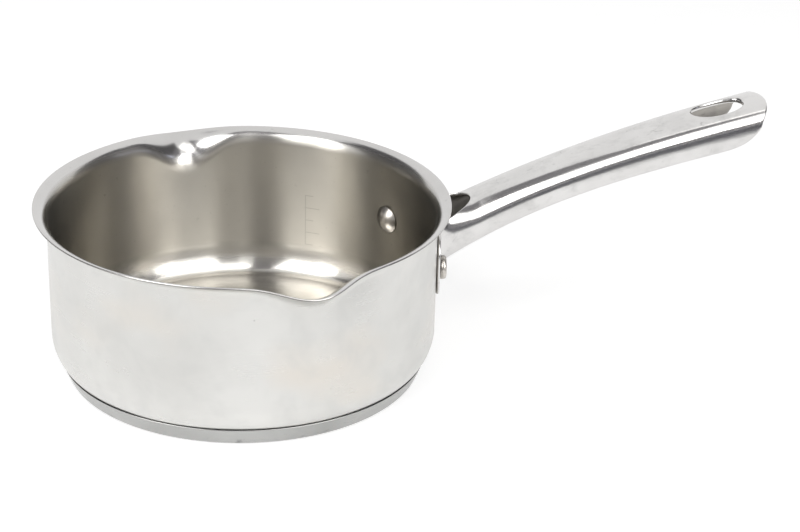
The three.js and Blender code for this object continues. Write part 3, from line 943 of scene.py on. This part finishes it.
def hole_block(outer):
    """First and last row, and first and last column, of the grid's block round the hang hole."""
    top = len(outer) // 2
    from_hole = outer[top, :, 0] - (PAN_RADIUS + HOLE_CENTRE)
    reach = HOLE_HALF_LENGTH + HOLE_ROUND
    c0 = int(np.argmin(np.abs(from_hole + reach + HOLE_MARGIN_BACK)))
    c1 = int(np.argmin(np.abs(from_hole - reach - HOLE_MARGIN_AHEAD)))
    across = outer[:, (c0 + c1) // 2]
    beside = np.abs(across[:, 1]) < HOLE_HALF_WIDTH + HOLE_ROUND + HOLE_MARGIN_BESIDE
    upper = across[:, 2] > across[top, 2] - HOLE_MARGIN_BELOW
    block = np.flatnonzero(beside & upper)
    return int(block[0]), int(block[-1]), c0, c1


def holed_sheet():
    """The handle's outside as a grid, with the block round the hang hole filled by rings.

    Gives its points and faces, the point numbers of the ring at the hole and their turns about it.
    """
    outer = np.stack([handle_row(share) for share in np.linspace(0, 1, HANDLE_ROWS)])
    sheet = Skin()
    numbers = sheet.add(outer)
    r0, r1, c0, c1 = hole_block(outer)
    for field in (numbers[:r0 + 1], numbers[r1:], numbers[r0:r1 + 1, :c0 + 1], numbers[r0:r1 + 1, c1:]):
        sheet.grid(field)
    block_edge = np.concatenate([
        numbers[r0, c0:c1], numbers[r0:r1, c1], numbers[r1, c1:c0:-1], numbers[r1:r0:-1, c0],
    ])
    plan = outer.reshape(-1, 3)[block_edge][:, :2]
    ahead = plan[:, 0] - (PAN_RADIUS + HOLE_CENTRE)
    around = np.arctan2(plan[:, 1] / HOLE_HALF_WIDTH, ahead / HOLE_HALF_LENGTH)
    rings = [block_edge]
    for share in np.linspace(0, 1, EDGE_STEPS + 1)[1:]:
        rings.append(sheet.add(under_top(lerp(plan, hole_oval(around, HOLE_ROUND), share), 0)))
    sheet.grid(np.stack(rings), wrap=True)
    return np.concatenate(sheet.points), sheet.faces, rings[-1], around


def make_handle():
    points, faces, hole_ring, around = holed_sheet()

    # The mouth is cut out and the points inside it are dropped
    points, faces = trim(points, faces, past_mouth(points))
    used = np.unique(np.concatenate([np.array(face) for face in faces]))
    renumbered = np.zeros(len(points), int)
    renumbered[used] = np.arange(len(used))
    points = points[used]
    faces = [renumbered[face].tolist() for face in faces]
    hole_ring = renumbered[hole_ring]

    # The sheet faces up round the hang hole
    normal = point_normals(points, faces)
    if normal[hole_ring, 2].mean() < 0:
        faces = [face[::-1] for face in faces]
        normal = -normal

    # A second face inside, one sheet's thickness away
    skin = Skin()
    outside = skin.add(points)
    inside = skin.add(points - HANDLE_SHEET * normal)
    skin.lay(faces, OUTSIDE)
    skin.lay([inside[face[::-1]].tolist() for face in faces], INSIDE)

    # The hang hole's rim rolls over into a short collar
    rim = [outside[hole_ring]]
    for angle in np.linspace(np.pi / 2, 0, EDGE_STEPS + 1)[1:]:
        plan = hole_oval(around, HOLE_ROUND * (1 - math.cos(angle)))
        rim.append(skin.add(under_top(plan, HOLE_ROUND * (1 - math.sin(angle)))))
    half_sheet = COLLAR_SHEET / 2
    for angle in np.linspace(np.pi, 0, EDGE_STEPS + 1):
        plan = hole_oval(around, half_sheet * (1 + math.cos(angle)))
        rim.append(skin.add(under_top(plan, COLLAR_DEPTH - half_sheet * (1 - math.sin(angle)))))
    rim.append(inside[hole_ring])
    skin.grid(np.stack(rim), OUTSIDE, wrap=True)

    # Rounded edge of the sheet all the way round; its inner half takes the inside's painted shade
    edge = max(open_loops(faces), key=len)
    line = points[edge]
    out_way = unit(np.cross(np.roll(line, -1, axis=0) - np.roll(line, 1, axis=0), normal[edge]))
    strips = [outside[edge]]
    for angle in np.linspace(0, np.pi, EDGE_STEPS + 1)[1:-1]:
        depth = HANDLE_SHEET / 2 * (1 - math.cos(angle))
        strips.append(skin.add(line - depth * normal[edge] + HANDLE_EDGE * math.sin(angle) * out_way))
    strips.append(inside[edge])
    middle = len(strips) // 2
    skin.grid(np.stack(strips[:middle + 1]), OUTSIDE, wrap=True)
    skin.grid(np.stack(strips[middle:]), INSIDE, wrap=True)
    return skin.piece("handle_sheet", [handle_polish, shaded_handle_inside])


# Rivets

def make_rivet(name, hand):
    """A rivet through the strap and the wall; hand is 1 on the far side and -1 on the near one."""
    pan_inside = PAN_RADIUS - PAN_SHEET
    seat = math.sqrt(pan_inside ** 2 - RIVET_INNER_HEAD ** 2) - FIT_GAP
    dome_radius = (RIVET_INNER_HEAD ** 2 + RIVET_INNER_RISE ** 2) / (2 * RIVET_INNER_RISE)
    dome_turn = math.asin(RIVET_INNER_HEAD / dome_radius)
    dome_centre = (0, seat - RIVET_INNER_RISE + dome_radius)
    face = strap_outside + FIT_GAP
    edge_centre = (RIVET_OUTER_HEAD - RIVET_EDGE, face + RIVET_OUTER_RISE - RIVET_EDGE)
    outline = np.concatenate([
        arc(dome_centre, dome_radius, math.pi / 2, math.pi / 2 - dome_turn, DOME_STEPS),
        [(RIVET_RADIUS, seat), (RIVET_RADIUS, face), (RIVET_OUTER_HEAD, face)],
        arc(edge_centre, RIVET_EDGE, 0, -math.pi / 2, RIVET_EDGE_STEPS),
        [(0, face + RIVET_OUTER_RISE)],
    ])
    skin = Skin()
    turned(skin, outline, RIVET_STEPS)
    made = skin.piece(name, [rivet_polish])
    lay_down = Matrix.Rotation(math.pi / 2, 4, "Y")
    swing = Matrix.Rotation(hand * RIVET_SPREAD / strap_outside, 4, "Z")
    lift = Matrix.Translation((0, 0, (HANDLE_HEIGHT - RIVET_DROP) * MM))
    made.data.transform(lift @ swing @ lay_down)
    return made


pan_shell = make_pan_body()
capsule_base = make_base_cap()
handle_sheet = make_handle()
near_rivet_head = make_rivet("near_rivet_steel", -1)
far_rivet_head = make_rivet("far_rivet_steel", 1)

dressing = [
    (pan_shell, "pan_body", "satin_steel"),
    (capsule_base, "base_cap", "base_steel"),
    (handle_sheet, "handle", "polished_steel"),
    (near_rivet_head, "near_rivet", "rivet_steel"),
    (far_rivet_head, "far_rivet", "rivet_steel"),
]
for piece, node, slot in dressing:
    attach(piece, "root")
    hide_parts(node)

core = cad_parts["base_core"]
core.data.materials.clear()
core.data.materials.append(core_grey)


# Studio

def stage_sheet(name, points, faces, material):
    mesh = bpy.data.meshes.new(name)
    mesh.from_pydata(points, [], faces)
    mesh.materials.append(material)
    made = add_object(name, mesh)
    return made


def seen(f):
    """1 for what the camera sees, straight or in metal and glass."""
    straight = f.node("ShaderNodeLightPath", out="Is Camera Ray")
    mirrored = f.node("ShaderNodeLightPath", out="Is Glossy Ray")
    through = f.node("ShaderNodeLightPath", out="Is Transmission Ray")
    return straight.most(mirrored).most(through)


def pale_floor(name):
    """A plain floor that takes shadows, with a glow that brings it up to white."""
    material, f = new_finish(name)
    grain = f.noise(f.place(), 40.0)
    colour = f.mix(grain, shade(0.61, 0.61, 0.61), shade(0.64, 0.64, 0.64))
    lit = f.node("ShaderNodeBsdfDiffuse", None, {"Color": colour})
    glow = f.node("ShaderNodeEmission", None, {
        "Color": shade(1, 1, 1),
        "Strength": seen(f) * FLOOR_GLOW,
    })
    finish_with(f, f.node("ShaderNodeAddShader", None, {0: lit, 1: glow}))
    return material


def make_floor():
    square = [(-1, -1), (1, -1), (1, 1), (-1, 1)]
    corners = [(x * FLOOR_HALF, y * FLOOR_HALF, -FLOOR_DROP) for x, y in square]
    stage_sheet("floor", corners, [range(len(corners))], pale_floor("pale_floor"))


def make_reflected(name, points, faces, brightness):
    """A card out of sight and out of the light, which shows in the steel alone."""
    material, f = new_finish(name)
    finish_with(f, f.node("ShaderNodeEmission", None, {"Color": shade(*brightness), "Strength": 1.0}))
    made = stage_sheet(name, points, faces, material)
    made.visible_camera = False
    made.visible_diffuse = False
    made.visible_shadow = False
    made.visible_transmission = False


def dome_point(turn, height, radius):
    """A point of a dome about the pan."""
    return (
        radius * math.cos(height) * math.sin(turn),
        -radius * math.cos(height) * math.cos(turn),
        radius * math.sin(height),
    )


def make_curtain(name, turns, heights, brightness, radius):
    """A band of a dome about the pan, dark or bright, between two turns and two heights."""
    across, up = CURTAIN_STEPS
    points = [
        dome_point(FRONT + turn, height, radius)
        for height in np.linspace(*np.radians(heights), up + 1)
        for turn in np.linspace(*np.radians(turns), across + 1)
    ]
    numbers = np.arange(len(points)).reshape(up + 1, across + 1)
    corners = [numbers[:-1, :-1], numbers[:-1, 1:], numbers[1:, 1:], numbers[1:, :-1]]
    faces = np.stack(corners, -1).reshape(-1, 4).tolist()
    make_reflected(name, points, faces, brightness)


def make_card(name, plan, height, brightness):
    """A flat card that lies level at a height."""
    corners = [(x, y, height) for x, y in plan]
    make_reflected(name, corners, [range(len(corners))], brightness)


def make_lamp(name, turn, height, distance, size, power):
    """A soft lamp aimed at the pan."""
    turn = FRONT + math.radians(turn)
    height = math.radians(height)
    lamp = bpy.data.lights.new(name, "AREA")
    lamp.shape = "RECTANGLE"
    lamp.size, lamp.size_y = size
    lamp.energy = power
    made = add_object(name, lamp)
    made.location = dome_point(turn, height, distance)
    made.rotation_euler = (math.pi / 2 - height, 0, turn)
    made.visible_camera = False


def make_world():
    world = bpy.data.worlds.new("studio")
    bpy.context.scene.world = world
    world.use_nodes = True
    f = Finish(world.node_tree)
    strength = f.spread(seen(f), (0.0, 1.0), WORLD_FILL, 1.0)
    glow = f.node("ShaderNodeBackground", None, {"Color": shade(1, 1, 1), "Strength": strength})
    f.node("ShaderNodeOutputWorld", None, {"Surface": glow})


def make_camera():
    camera = bpy.data.cameras.new("camera")
    camera.lens = CAMERA_LENS
    camera.sensor_width = SENSOR_WIDTH
    made = add_object("camera", camera)
    turn = (
        Matrix.Rotation(-CAMERA_HEADING, 4, "Z")
        @ Matrix.Rotation(math.pi / 2 - CAMERA_DROP, 4, "X")
        @ Matrix.Rotation(CAMERA_ROLL, 4, "Z")
    )
    made.matrix_world = Matrix.Translation(metres(CAMERA_PLACE)) @ turn
    bpy.context.scene.camera = made


make_floor()
for curtain in CURTAINS:
    make_curtain(*curtain)
make_card("boom", BOOM, BOOM_HEIGHT, DARK_ROOM)
make_card("table_edge", TABLE_EDGE, TABLE_EDGE_HEIGHT, DARK_EDGE)
for lamp in LAMPS:
    make_lamp(*lamp)
make_world()
make_camera()
bpy.context.scene.view_settings.view_transform = "Standard"
